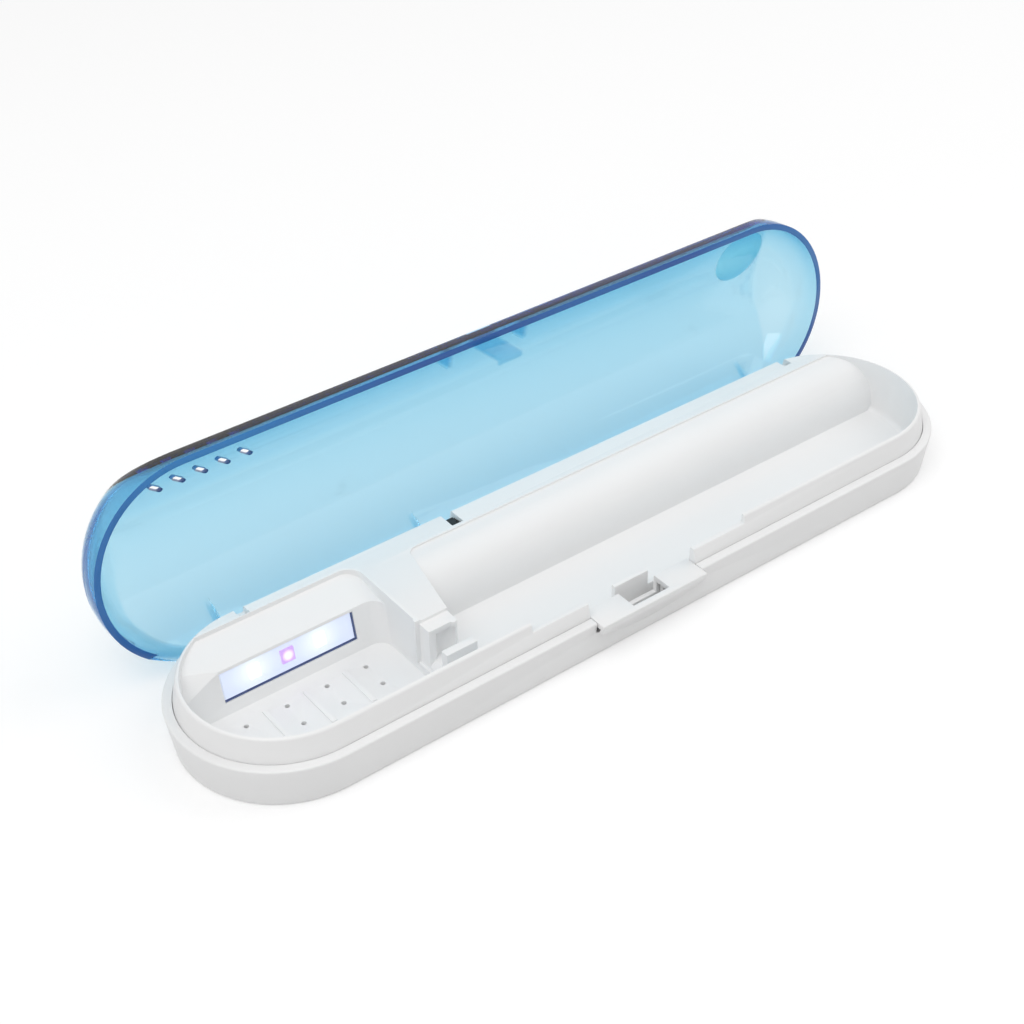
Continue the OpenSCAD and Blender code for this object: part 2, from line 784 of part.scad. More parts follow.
module floor_ribs() {
    for (i = [-1:1])
        span([window_x + i * drain_pitch - floor_rib_w / 2, -9.4, tray_floor_z - 0.3],
             [window_x + i * drain_pitch + floor_rib_w / 2, 3.8, tray_floor_z + floor_rib_h]);
}

// The light panel's own frame: origin at the window's centre on the panel's face
module on_panel() {
    translate([window_x, window_y, window_z])
        rotate([-panel_tilt, 0, 0])
            children();
}

module inner_tray() {
    button_half = button_len / 2 + button_gap;
    apron_rear = button_front + apron_lean + apron_t + button_travel;
    slot_half = plunger_d / 2 + plunger_gap;
    color(tray_white)
    difference() {
        union() {
            difference() {
                slot_body() polygon(tray_profile);
                tray_spaces(0);
                tray_hollow();
            }
            clip_pieces();
            chamber_bead();
            floor_ribs();
            latch_well();
        }
        on_panel()
            span([-window_len / 2, -over, -window_h / 2], [window_len / 2, tray_wall * 2, window_h / 2]);
        drain_holes();
        clip_cuts();
        span([latch_x - button_half - low_left, -half_w, low_z],
             [latch_x + button_half + low_right, -inner_w + inner_lean, rim_z + over]);
        span([latch_x - button_half, -half_w, wall_top],
             [latch_x + button_half, -inner_w + inner_lean, rim_z + over]);
        span([latch_x - notch_w / 2 - 1.2, -half_w, barb_top - catch_nose - 0.3],
             [latch_x + notch_w / 2 + 1.2, well_rear, rim_z + over]);
        span([latch_x - button_half, -half_w, apron_z - 0.6],
             [latch_x + button_half, apron_rear + 0.4, wall_top + over]);
        for (x = rear_notch_x)
            span([x - rear_notch_w / 2, half_w - fin_low_reach - 1.7, rim_z - rear_notch_h],
                 [x + rear_notch_w / 2, half_w, rim_z + over]);
        span([switch_x - plunger_w / 2 - 0.6, plunger_y - slot_half, rim_z - 3.2],
             [switch_x + plunger_w / 2 + 0.6, half_w, rim_z + over]);
        span([switch_x - plunger_w / 2 - plunger_gap, plunger_y - slot_half, ledge_h],
             [switch_x + plunger_w / 2 + plunger_gap, plunger_y + slot_half, rim_z + over]);
        for (side = [-1, 1])
            span([side * hinge_x - lug_w / 2 - lug_gap - ear_w - 0.4, hinge_y - lug_r - 0.5, -over],
                 [side * hinge_x + lug_w / 2 + lug_gap + ear_w + 0.4, half_w, ear_top + 0.9]);
        for (p = screw_places)
            translate([p[0], p[1], -over])
                cylinder(r = screw_r + 0.05, h = head_z + screw_head_h + screw_len + 1 + over, $fn = 48);
    }
}

// Battery bay

module battery_door() {
    color(shell_white)
    difference() {
        span([door_x0, cell_y - door_w / 2, door_z],
             [door_x1, cell_y + door_w / 2, door_z + door_t]);
        for (i = [0:4])
            span([door_x0 + 4 + 2 * i, cell_y - 5, door_z - over],
                 [door_x0 + 5 + 2 * i, cell_y + 5, door_z + 0.4]);
    }
}

module cell(x) {
    nub = 1;
    translate([x, cell_y, cell_z])
        rotate([0, 90, 0]) {
            cylinder(r = cell_d / 2, h = cell_len - nub, $fn = 64);
            cylinder(r = 1.9, h = cell_len, $fn = 48);
        }
}

cell_x = bay_x + contact_t + coil_len + 0.1;

module battery_cell_left() {
    color("silver") cell(cell_x);
}

module battery_cell_right() {
    color("silver") cell(cell_x + cell_len + 0.05);
}

module battery_spring() {
    color(steel)
    translate([bay_x + contact_t + 0.2, cell_y, cell_z])
        rotate([0, 90, 0])
            coil(3.2, 0.3, 4, coil_len - 0.3);
}

module battery_contacts() {
    color(steel)
    for (x = [bay_x + 0.05, bay_x + bay_len - contact_t - 0.05])
        span([x, cell_y - cell_d / 2 + 0.5, pad_z - 1],
             [x + contact_t, cell_y + cell_d / 2 - 0.5, cell_z + 4]);
}

// Boards

module control_board() {
    color(board_green)
    difference() {
        span([board_x0, board_y - board_w / 2, board_z + 0.05],
             [board_x1, board_y + board_w / 2, board_z + 0.05 + board_t]);
        for (x = [-1, 1])
            translate([board_x + x * board_hole_x, board_y, board_z - over])
                cylinder(r = 1.1, h = board_t + 2 * over + 0.1, $fn = 36);
    }
}

board_top = board_z + 0.1 + board_t;

module board_components() {
    color([0.12, 0.12, 0.13]) {
        translate([board_x - chip_l / 2, board_y - 3, board_top])
            cube([chip_l, chip_l * 0.8, chip_l * 0.3]);
        translate([board_x + board_hole_x - 2 * chip_l, board_y - chip_l, board_top])
            cube([chip_l * 0.8, chip_l * 0.8, chip_l * 0.4]);
        translate([board_x - chip_l / 2 - cap_d / 2 - 0.5, board_y - 2, board_top])
            cylinder(r = cap_d / 2, h = cap_h, $fn = 36);
        for (i = [0:3])
            translate([board_x - chip_l * 0.7 + i * chip_l * 0.45, board_y - chip_l * 1.1, board_top])
                cube([chip_l * 0.24, chip_l * 0.14, chip_l * 0.1]);
    }
}

module board_screws() {
    color(steel)
    for (x = [-1, 1])
        translate([board_x + x * board_hole_x, board_y, board_top]) {
            cylinder(r = board_screw_d / 2, h = 0.9, $fn = 36);
            translate([0, 0, -board_screw_len]) cylinder(r = 0.75, h = board_screw_len + 0.1, $fn = 36);
        }
}

module case_screws() {
    color(steel)
    for (p = screw_places)
        translate([p[0], p[1], head_z])
            difference() {
                union() {
                    cylinder(r = screw_head_r, h = screw_head_h - 0.1, $fn = 48);
                    cylinder(r = screw_r, h = screw_head_h + screw_len, $fn = 48);
                }
                for (turn = [0, 90])
                    rotate([0, 0, turn])
                        span([-1.3, -0.25, -over], [1.3, 0.25, 0.7]);
            }
}

led_face = tray_wall + 0.25;

module led_board() {
    color([0.95, 0.95, 0.97])
    on_panel()
        span([panel_x0 + tray_wall + 0.3 - window_x, led_face, -window_h / 2 - 0.6],
             [window_len / 2 + 1, led_face + board_t, window_h / 2 - 1]);
}

module uvc_led() {
    color([0.75, 0.6, 1])
    on_panel()
        span([-uvc_size / 2, led_face - 0.05 - led_t, -uvc_size / 2],
             [uvc_size / 2, led_face - 0.05, uvc_size / 2]);
}

module side_leds() {
    color([0.8, 0.9, 1])
    on_panel()
        for (x = [-led_pitch, led_pitch])
            span([x - side_led_w / 2, led_face - 0.05 - led_t, -uvc_size / 2],
                 [x + side_led_w / 2, led_face - 0.05, uvc_size / 2]);
}

module uv_window() {
    color([0.85, 0.9, 1, 0.5])
    on_panel()
        span([-window_len / 2 + 0.1, 0.25, -window_h / 2 + 0.1],
             [window_len / 2 - 0.1, 0.25 + window_t, window_h / 2 - 0.1]);
}

// Lid switch

plunger_top = rim_z - 1;
plunger_y = half_w - switch_inset;
plunger_base = ledge_h - 2.2;
switch_top = ledge_h + 0.6;

module lid_switch_body() {
    color([0.08, 0.08, 0.09])
    difference() {
        span([switch_x - switch_body_w / 2, plunger_y - 3, board_top],
             [switch_x + switch_body_w / 2, plunger_y + 2.4, switch_top]);
        span([switch_x - plunger_w / 2 - plunger_gap, plunger_y - plunger_d / 2 - plunger_gap + 0.1,
              board_top + 1.2],
             [switch_x + plunger_w / 2 + plunger_gap, plunger_y + plunger_d / 2 + plunger_gap - 0.3,
              switch_top + over]);
    }
}

module lid_switch_plunger() {
    color([0.05, 0.05, 0.06])
    span([switch_x - plunger_w / 2, plunger_y - plunger_d / 2 + 0.1, plunger_base],
         [switch_x + plunger_w / 2, plunger_y + plunger_d / 2 - 0.3, plunger_top]);
}

module lid_switch_spring() {
    color(steel)
    translate([switch_x, plunger_y - 0.1, board_top + 1.25])
        coil(0.9, 0.15, 4, plunger_base - board_top - 1.35);
}

// Latch

stem_rear = button_rear - bar_t - button_gap;
bar_top = button_z - bar_drop;
bar_low = bar_top - bar_h;
barb_top = bar_low - button_gap;
catch_nose = 1.6;
lip_low = ledge_h - lip_t;
apron_slope = apron_lean / (lip_low - apron_z);

module latch_button() {
    half = button_len / 2;
    color(shell_white)
    translate([latch_x, 0, 0]) {
        difference() {
            union() {
                bar(-half, half)
                    polygon([
                        [button_front, lip_low],
                        [button_front + apron_t + apron_slope * (lip_low - button_z), button_z],
                        [button_rear, button_z],
                        [button_rear, ledge_h],
                        [button_front, ledge_h]]);
                intersection() {
                    translate([0, button_rear, 0])
                        rotate([90, 0, 0])
                            linear_extrude(button_depth)
                                apron_outline(0);
                    bar(-half, half)
                        polygon([
                            [button_front, lip_low],
                            [button_front + apron_lean, apron_z],
                            [button_front + apron_lean + apron_t, apron_z],
                            [button_front + apron_t, lip_low]]);
                }
            }
            span([-notch_w / 2, button_front + front_bar, button_z - over],
                 [notch_w / 2, button_rear + over, ledge_h + over]);
        }
        difference() {
            span([-notch_w / 2 - 1, button_rear - bar_t, bar_low],
                 [notch_w / 2 + 1, button_rear, button_z + 0.01]);
            span([-notch_w / 2, button_rear - bar_t - over, bar_top],
                 [notch_w / 2, button_rear + over, ledge_h]);
        }
        for (i = [-1:1])
            translate([i * nub_pitch, button_front + 0.9, lip_low - 0.5])
                sphere(r = 0.6, $fn = 24);
    }
}

leaf_z = button_z - 0.4 - leaf_w;
leaf_front = button_front + apron_t + apron_slope * (lip_low - leaf_z) + 0.15;
leaf_rear = button_front + apron_lean + apron_t + button_travel + 0.1;
leaf_bow = leaf_rear - leaf_front;
leaf_r = (pow(leaf_len / 2, 2) + pow(leaf_bow, 2)) / (2 * leaf_bow);

// Two bowed leaves between the button's apron and the tray
module latch_springs() {
    color(steel)
    for (side = [-1, 1])
        translate([latch_x + side * leaf_x, 0, leaf_z])
            linear_extrude(leaf_w)
                intersection() {
                    difference() {
                        translate([0, leaf_rear - leaf_r]) circle(r = leaf_r, $fn = 72);
                        translate([0, leaf_rear - leaf_r]) circle(r = leaf_r - leaf_t, $fn = 72);
                    }
                    translate([-leaf_len / 2, leaf_front]) square([leaf_len, leaf_bow + over]);
                }
}

// Hinge pins

pin_len = lug_w + 2 * lug_gap + 2 * ear_w - 0.2;

module hinge_pin_left() {
    color(steel) pin_bore(-hinge_x, pin_r, pin_len);
}

module hinge_pin_right() {
    color(steel) pin_bore(hinge_x, pin_r, pin_len);
}

// Lid, drawn closed and then turned open about the hinge

module opened() {
    translate([0, hinge_y, hinge_z])
        rotate([-lid_open, 0, 0])
            translate([0, -hinge_y, -hinge_z])
                children();
}

lid_z = ledge_h + lid_gap;
lid_top = ledge_h + lid_rise;
dome_rise = lid_top - lid_z - lid_skirt;
dome_r = (half_w * half_w + dome_rise * dome_rise) / (2 * dome_rise);

function lid_profile(inset, low) = concat(
    [[0, low], [half_w - inset, low]],
    arc_points(half_w - lid_end_r, lid_top - lid_end_r, lid_end_r - inset, 0, 90, 14),
    [[0, lid_top - inset]]);

module lid_body(inset, low) {
    intersection() {
        slot_body() polygon(lid_profile(inset, low));
        translate([-case_len / 2 - over, 0, lid_top - dome_r])
            rotate([0, 90, 0])
                cylinder(r = dome_r - inset, h = case_len + 2 * over, $fn = 360);
    }
}

module hinge_lugs() {
    arm_in = tray_w + 0.4;
    for (side = [-1, 1])
        translate([side * hinge_x - lug_w / 2, 0, 0]) {
            bar(0, lug_w)
                polygon([
                    [arm_in, lid_z + 1],
                    [half_w, lid_z + 1],
                    [half_w, hinge_z + 3.2],
                    [half_w - 0.8, hinge_z + 1.2],
                    [half_w - 1.5, hinge_z],
                    [hinge_y, hinge_z],
                    [hinge_y, hinge_z + lug_r],
                    [arm_in, hinge_z + lug_r]]);
            translate([0, hinge_y, hinge_z])
                rotate([0, 90, 0])
                    cylinder(r = lug_r, h = lug_w, $fn = 48);
        }
}

lid_inner_w = half_w - lid_wall;
fin_top = lid_top - lid_wall / 2;
fin_low_reach = 5.6;

// Thin ribs inside the lid's rear wall: each drops into a notch of the collar
module rear_fins() {
    for (x = [rear_notch_x[0], switch_x, rear_notch_x[1]]) {
        low = x == switch_x ? plunger_top + 0.4 : rim_z - rear_notch_h + 0.6;
        intersection() {
            lid_body(lid_wall / 2, lid_z);
            bar(x - fin_t / 2, x + fin_t / 2)
                polygon([
                    [half_w, low],
                    [half_w - fin_low_reach, low],
                    [half_w - fin_low_reach - 2.2, low + 3.6],
                    [half_w - rear_fin_reach, fin_top],
                    [half_w, fin_top]]);
        }
    }
}

module front_fins() {
    for (side = [-1, 1])
        intersection() {
            lid_body(lid_wall / 2, lid_z);
            bar(latch_x + side * front_fin_x - fin_t / 2, latch_x + side * front_fin_x + fin_t / 2)
                polygon([
                    [-half_w, lid_z + 1],
                    [-half_w + 2.2, lid_z + 1],
                    [-half_w + front_fin_reach, lid_z + 2.4],
                    [-half_w + front_fin_reach, fin_top],
                    [-half_w, fin_top]]);
        }
}

// The catch: a stem that hangs from the front wall, with a barb that points to the rear
module lid_catch() {
    root_z = lid_z + 1.5;
    bar(latch_x - catch_w / 2, latch_x + catch_w / 2)
        polygon([
            [-lid_inner_w - lid_wall / 2, root_z],
            [stem_rear - catch_t, root_z],
            [stem_rear - catch_t, barb_top - catch_nose],
            [stem_rear, barb_top - catch_nose],
            [stem_rear + barb_reach, barb_top - 0.6],
            [stem_rear + barb_reach, barb_top],
            [stem_rear, barb_top],
            [stem_rear, root_z + 4.5],
            [-lid_inner_w - lid_wall / 2, root_z + 4.5]]);
}

badge_x = case_len / 2 - badge_end;
badge_y = -half_w + badge_inset;
badge_tilt = asin(-badge_y / dome_r);

// A frame on the lid's dome at the badge, with Z square to the surface
module on_dome() {
    translate([badge_x, 0, lid_top - dome_r])
        rotate([badge_tilt, 0, 0])
            translate([0, 0, dome_r])
                children();
}

module lid_closed() {
    difference() {
        union() {
            difference() {
                lid_body(0, lid_z);
                lid_body(lid_wall, lid_z - over);
            }
            rear_fins();
            front_fins();
            lid_catch();
        }
        relief_r = sqrt(pow(hinge_inset, 2) + pow(hinge_drop, 2)) + 0.3;
        translate([-case_len / 2 - over, hinge_y, hinge_z])
            rotate([0, 90, 0])
                cylinder(r = relief_r, h = case_len + 2 * over, $fn = 96);
        for (i = [0:vent_count - 1])
            translate([-case_len / 2 + vent_start + i * vent_pitch, -half_w + vent_inset, rim_z])
                rotate([0, 0, vent_slant - 90 - 10]) {
                    for (end = [-1, 1])
                        translate([0, end * (vent_len - vent_w) / 2, 0])
                            cylinder(r = vent_w / 2, h = lid_top, $fn = 24);
                    span([-vent_w / 2, -(vent_len - vent_w) / 2, 0],
                         [vent_w / 2, (vent_len - vent_w) / 2, lid_top]);
                }
        on_dome()
            translate([0, 0, -badge_t])
                cylinder(r = badge_d / 2 + 0.1, h = lid_wall, $fn = 72);
    }
}

module lid_shell() {
    color(lid_blue)
    opened()
        difference() {
            union() {
                lid_closed();
                hinge_lugs();
            }
            for (side = [-1, 1])
                pin_bore(side * hinge_x, pin_r + lug_fit, lug_w + 2 * over);
        }
}

module lid_badge() {
    color([0.45, 0.76, 0.88, 0.7])
    opened()
        on_dome()
            translate([0, 0, -badge_t + 0.1])
                cylinder(r = badge_d / 2, h = badge_t - 0.3, $fn = 72);
}

// Wires

module power_wires() {
    top = board_top + wire_r + 0.1;
    run_y = cell_y + cell_d / 2 + wire_r + 0.5;
    run_z = cell_z + (cell_d - wire_r) / 2;
    far_x = bay_x + bay_len;
    color([0.75, 0.1, 0.1])
        wire(smooth([
            [board_x1 - wire_run, run_y, top],
            [board_x1 + 1, run_y, top + 2],
            [bay_x + wire_run, run_y, run_z],
            [(bay_x + far_x) / 2, run_y, run_z],
            [far_x - 2 * wire_run, run_y, run_z],
            [far_x - contact_t - wire_r - 0.4, cell_y + 4, cell_z + cell_d / 2 + wire_r + 0.2]]), wire_r);
    color([0.1, 0.1, 0.1])
        wire(smooth([
            [board_x1 - wire_run, cell_y - 2, top],
            [board_x1 + 2, cell_y - 2, top + 1],
            [bay_x - wire_r - 0.1, cell_y - 2, cell_z + 1]]), wire_r);
}

module led_wires() {
    top = board_top + wire_r + 0.1;
    behind = led_face + board_t + wire_r + 0.1;
    for (i = [0, 1]) {
        run_y = board_y + 3.8 + 1.5 * i;
        color(i == 0 ? [0.8, 0.8, 0.8] : [0.2, 0.3, 0.8])
            wire(smooth([
                [board_x0 + 0.75 * wire_run, run_y, top],
                [board_x0 - wire_run, run_y, top],
                [board_x0 - 3 * wire_run, run_y, top],
                [window_x + window_len / 2 - wire_run - 2 * i, window_y + behind + 0.5, window_z + i]]),
                wire_r);
    }
}

lower_shell();
inner_tray();
battery_door();
battery_spring();
battery_contacts();
battery_cell_left();
battery_cell_right();
control_board();
board_components();
board_screws();
case_screws();
led_board();
uvc_led();
side_leds();
uv_window();
lid_switch_body();
lid_switch_plunger();
lid_switch_spring();
latch_button();
latch_springs();
hinge_pin_left();
hinge_pin_right();
lid_shell();
lid_badge();
power_wires();
led_wires();
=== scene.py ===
import json
import math

import bmesh
import bpy
from mathutils import Matrix, Vector


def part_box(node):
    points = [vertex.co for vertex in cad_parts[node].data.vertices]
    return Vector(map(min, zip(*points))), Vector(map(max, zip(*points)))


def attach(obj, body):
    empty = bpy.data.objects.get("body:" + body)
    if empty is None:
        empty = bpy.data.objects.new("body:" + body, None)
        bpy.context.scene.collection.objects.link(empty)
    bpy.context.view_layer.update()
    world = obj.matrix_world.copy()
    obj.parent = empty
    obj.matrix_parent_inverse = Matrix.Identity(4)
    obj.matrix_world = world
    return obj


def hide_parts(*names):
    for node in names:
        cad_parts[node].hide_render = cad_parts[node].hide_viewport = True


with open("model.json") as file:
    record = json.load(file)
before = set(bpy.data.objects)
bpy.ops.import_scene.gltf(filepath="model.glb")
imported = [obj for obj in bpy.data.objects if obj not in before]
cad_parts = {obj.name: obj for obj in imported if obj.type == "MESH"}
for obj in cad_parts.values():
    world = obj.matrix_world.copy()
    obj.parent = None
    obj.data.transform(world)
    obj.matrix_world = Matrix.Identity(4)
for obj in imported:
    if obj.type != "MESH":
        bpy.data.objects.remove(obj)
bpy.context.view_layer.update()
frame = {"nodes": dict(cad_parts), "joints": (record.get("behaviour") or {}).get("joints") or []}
mm = 0.001
bpy.context.scene.view_settings.view_transform = "Standard"
print("frame loaded:", len(frame["nodes"]), "nodes")


# Camera, matched to the photograph: angles in degrees, lens and sensor in millimetres

shot = {
    "azimuth": -36.786,
    "elevation": 36.763,
    "roll": -1.010,
    "distance": 412.2 * mm,
    "target": (-23.03 * mm, 0, 30.83 * mm),
    "lens": 59.42,
    "sensor": 36,
    "nearest": 0.01,
    "farthest": 20,
}


def addCamera(cfg):
    az = math.radians(cfg["azimuth"])
    el = math.radians(cfg["elevation"])
    roll = math.radians(cfg["roll"])
    forward = Vector((-math.sin(az) * math.cos(el), math.cos(az) * math.cos(el), -math.sin(el)))
    level = Vector((math.cos(az), math.sin(az), 0))
    above = level.cross(forward)
    right = level * math.cos(roll) + above * math.sin(roll)
    up = above * math.cos(roll) - level * math.sin(roll)
    data = bpy.data.cameras.new("photoCamera")
    data.lens = cfg["lens"]
    data.sensor_width = cfg["sensor"]
    data.sensor_fit = "HORIZONTAL"
    data.clip_start = cfg["nearest"]
    data.clip_end = cfg["farthest"]
    camera = bpy.data.objects.new("photoCamera", data)
    place = Vector(cfg["target"]) - forward * cfg["distance"]
    turn = Matrix((right, up, -forward)).transposed()
    camera.matrix_world = Matrix.Translation(place) @ turn.to_4x4()
    bpy.context.collection.objects.link(camera)
    bpy.context.scene.camera = camera


addCamera(shot)


# Node helpers

def toLinear(hexColour):
    channels = [int(hexColour[i:i + 2], 16) / 255 for i in (1, 3, 5)]
    linear = [c / 12.92 if c <= 0.04045 else ((c + 0.055) / 1.055) ** 2.4 for c in channels]
    return (*linear, 1.0)


def addNode(tree, kind, settings=None, links=None):
    # settings: sockets or attributes by name; links: input socket -> (node, output)
    node = tree.nodes.new(kind)
    for name, value in (settings or {}).items():
        if isinstance(name, int) or name in node.inputs:
            node.inputs[name].default_value = value
        else:
            setattr(node, name, value)
    for name, (source, output) in (links or {}).items():
        tree.links.new(source.outputs[output], node.inputs[name])
    return node


def largest(tree, values):
    # the largest of several values, each a (node, output) pair
    found = values[0]
    for value in values[1:]:
        both = addNode(tree, "ShaderNodeMath", {"operation": "MAXIMUM"}, {0: found, 1: value})
        found = (both, "Value")
    return found


def newMaterial(name):
    mat = bpy.data.materials.new(name)
    mat.use_nodes = True
    mat.node_tree.nodes.clear()
    return mat, mat.node_tree


def objectNoise(tree, size, detail):
    # noise fixed to the piece, with blobs about as wide as size
    coords = addNode(tree, "ShaderNodeTexCoord")
    return addNode(tree, "ShaderNodeTexNoise", {"Scale": 1 / size, "Detail": detail},
                   {"Vector": (coords, "Object")})


def addBump(tree, grain, detail=2.0):
    # fine surface grain, as its real (size, depth)
    size, depth = grain
    noise = objectNoise(tree, size, detail)
    return addNode(tree, "ShaderNodeBump", {"Distance": depth, "Strength": 1.0},
                   {"Height": (noise, "Fac")})


def twoColours(tree, colours, share):
    # the first colour where the share is 0, the second where it is 1
    first, second = (toLinear(colour) for colour in colours)
    return addNode(tree, "ShaderNodeMixRGB", {"Color1": first, "Color2": second}, {"Fac": share})


# Lights and stage

studio = {
    "world": 0.65,
    "floorColour": "#dedede",
    "floorLift": 0.3,
    "floorReach": 6,
    "key": {"watts": 5.4, "size": 0.9, "place": (-0.55, -0.25, 1.15)},
    "side": {"watts": 2.0, "size": 0.8, "place": (0.75, -0.2, 0.9)},
}


def seenRays(tree):
    # 1 for the rays that show what they meet, 0 for those that only gather its light
    rays = addNode(tree, "ShaderNodeLightPath")
    kinds = ("Is Camera Ray", "Is Glossy Ray", "Is Transmission Ray")
    return largest(tree, [(rays, kind) for kind in kinds])


def addWorld(cfg):
    # white where it is seen, and a plain level of light from all round
    world = bpy.data.worlds.new("studio")
    world.use_nodes = True
    tree = world.node_tree
    tree.nodes.clear()
    white = (1, 1, 1, 1)
    light = addNode(tree, "ShaderNodeBackground", {"Color": white, "Strength": cfg["world"]})
    backdrop = addNode(tree, "ShaderNodeBackground", {"Color": white, "Strength": 1.0})
    mix = addNode(tree, "ShaderNodeMixShader", None,
                  {0: seenRays(tree), 1: (light, "Background"), 2: (backdrop, "Background")})
    addNode(tree, "ShaderNodeOutputWorld", None, {"Surface": (mix, "Shader")})
    bpy.context.scene.world = world


def addSoftLight(name, cfg):
    # a square lamp, turned to the origin
    data = bpy.data.lights.new(name, "AREA")
    data.energy = cfg["watts"]
    data.size = cfg["size"]
    lamp = bpy.data.objects.new(name, data)
    place = Vector(cfg["place"])
    turn = (-place).to_track_quat("-Z", "Y")
    lamp.matrix_world = Matrix.Translation(place) @ turn.to_matrix().to_4x4()
    bpy.context.collection.objects.link(lamp)


def addFloor(cfg):
    # matt paper that keeps the shadow; a lift brings it up to white where it is seen
    mat, tree = newMaterial("white studio paper")
    paper = addNode(tree, "ShaderNodeBsdfDiffuse", {"Color": toLinear(cfg["floorColour"])})
    lift = addNode(tree, "ShaderNodeMath", {"operation": "MULTIPLY", 1: cfg["floorLift"]},
                   {0: seenRays(tree)})
    glow = addNode(tree, "ShaderNodeEmission", {"Color": (1, 1, 1, 1)},
                   {"Strength": (lift, "Value")})
    both = addNode(tree, "ShaderNodeAddShader", None, {0: (paper, "BSDF"), 1: (glow, "Emission")})
    addNode(tree, "ShaderNodeOutputMaterial", None, {"Surface": (both, "Shader")})
    reach = cfg["floorReach"]
    corners = [(-reach, -reach, 0), (reach, -reach, 0), (reach, reach, 0), (-reach, reach, 0)]
    mesh = bpy.data.meshes.new("floor")
    mesh.from_pydata(corners, [], [(0, 1, 2, 3)])
    mesh.materials.append(mat)
    floor = bpy.data.objects.new("floor", mesh)
    bpy.context.collection.objects.link(floor)


addWorld(studio)
for name in ("key", "side"):
    addSoftLight(name, studio[name])
addFloor(studio)
print("studio ready")


# Materials

def absWhite(name, cfg):
    # injection-moulded ABS: satin skin with a spark-eroded grain too fine to see one by one
    mat, tree = newMaterial(name)
    bump = addBump(tree, cfg["grain"])
    cloud = objectNoise(tree, cfg["cloud"], 1.0)
    tone = twoColours(tree, cfg["colours"], (cloud, "Fac"))
    gloss = addNode(tree, "ShaderNodeMapRange",
                    {"To Min": cfg["roughness"][0], "To Max": cfg["roughness"][1]},
                    {"Value": (cloud, "Fac")})
    skin = addNode(tree, "ShaderNodeBsdfPrincipled", {"IOR": cfg["ior"]},
                   {"Base Color": (tone, "Color"), "Roughness": (gloss, "Result"),
                    "Normal": (bump, "Normal")})
    addNode(tree, "ShaderNodeOutputMaterial", None, {"Surface": (skin, "BSDF")})
    return mat


def tintedPolycarbonate(name, cfg):
    # clear polycarbonate dyed blue in the mass, with a polished skin: pale through one wall and
    # deeper where the sight line runs along it; it bends light little, as a thin even wall does
    mat, tree = newMaterial(name)
    bump = addBump(tree, cfg["ripple"], detail=1.0)
    skin = addNode(tree, "ShaderNodeBsdfPrincipled",
                   {"Base Color": (1, 1, 1, 1), "Roughness": cfg["roughness"], "IOR": cfg["bend"],
                    "Transmission Weight": 1.0, "Coat Weight": cfg["coat"],
                    "Coat IOR": cfg["coatIor"], "Coat Roughness": cfg["coatRoughness"]},
                   {"Normal": (bump, "Normal"), "Coat Normal": (bump, "Normal")})
    strongest = max(cfg["perMillimetre"])
    passing = [1 - a / strongest for a in cfg["perMillimetre"]]
    dye = addNode(tree, "ShaderNodeVolumeAbsorption",
                  {"Color": (*passing, 1), "Density": strongest / mm})
    addNode(tree, "ShaderNodeOutputMaterial", None,
            {"Surface": (skin, "BSDF"), "Volume": (dye, "Volume")})
    return mat


def paintedEdgeLight(name, cfg):
    # cut polycarbonate, opaque: painted light, deeper and paler lengths of blue standing for the
    # light piped along the dyed wall that leaves it here; on the arris the paler blue is a painted
    # highlight
    mat, tree = newMaterial(name)
    bump = addBump(tree, cfg["grain"])
    stretch = objectNoise(tree, cfg["stretch"], 1.0)
    tone = addNode(tree, "ShaderNodeMapRange",
                   {"From Min": cfg["contrast"][0], "From Max": cfg["contrast"][1]},
                   {"Value": (stretch, "Fac")})
    blue = twoColours(tree, cfg["colours"], (tone, "Result"))
    skin = addNode(tree, "ShaderNodeBsdfPrincipled",
                   {"Roughness": cfg["roughness"], "IOR": cfg["ior"]},
                   {"Base Color": (blue, "Color"), "Normal": (bump, "Normal")})
    addNode(tree, "ShaderNodeOutputMaterial", None, {"Surface": (skin, "BSDF")})
    return mat


def nearPoints(tree, points, inner, outer):
    # 1 within the inner distance of any of the points, 0 beyond the outer one
    coords = addNode(tree, "ShaderNodeTexCoord")
    ramps = []
    for point in points:
        reach = addNode(tree, "ShaderNodeVectorMath", {"operation": "DISTANCE", 1: point},
                        {0: (coords, "Object")})
        ramp = addNode(tree, "ShaderNodeMapRange",
                       {"interpolation_type": "SMOOTHSTEP", "From Min": inner, "From Max": outer,
                        "To Min": 1, "To Max": 0}, {"Value": (reach, "Value")})
        ramps.append((ramp, "Result"))
    return largest(tree, ramps)


def litPanel(name, cfg):
    # matt solder resist or an LED's moulded package, glowing paler towards each chip: on the board
    # this is painted light, the chips' light on it; on an LED it is the lit chip's own glow
    mat, tree = newMaterial(name)
    bump = addBump(tree, cfg["grain"])
    near = nearPoints(tree, cfg["chips"], cfg["inner"], cfg["outer"])
    glow = twoColours(tree, cfg["glow"], near)
    skin = addNode(tree, "ShaderNodeBsdfPrincipled",
                   {"Base Color": toLinear(cfg["skin"]), "Roughness": cfg["roughness"],
                    "Emission Strength": cfg["strength"]},
                   {"Emission Color": (glow, "Color"), "Normal": (bump, "Normal")})
    addNode(tree, "ShaderNodeOutputMaterial", None, {"Surface": (skin, "BSDF")})
    return mat


def plain(name, colour, roughness, metallic=0.0):
    # one even colour with a fine grain, as small drawn, stamped or moulded hardware has
    mat, tree = newMaterial(name)
    bump = addBump(tree, hardwareGrain)
    skin = addNode(tree, "ShaderNodeBsdfPrincipled",
                   {"Base Color": toLinear(colour), "Roughness": roughness, "Metallic": metallic},
                   {"Normal": (bump, "Normal")})
    addNode(tree, "ShaderNodeOutputMaterial", None, {"Surface": (skin, "BSDF")})
    return mat


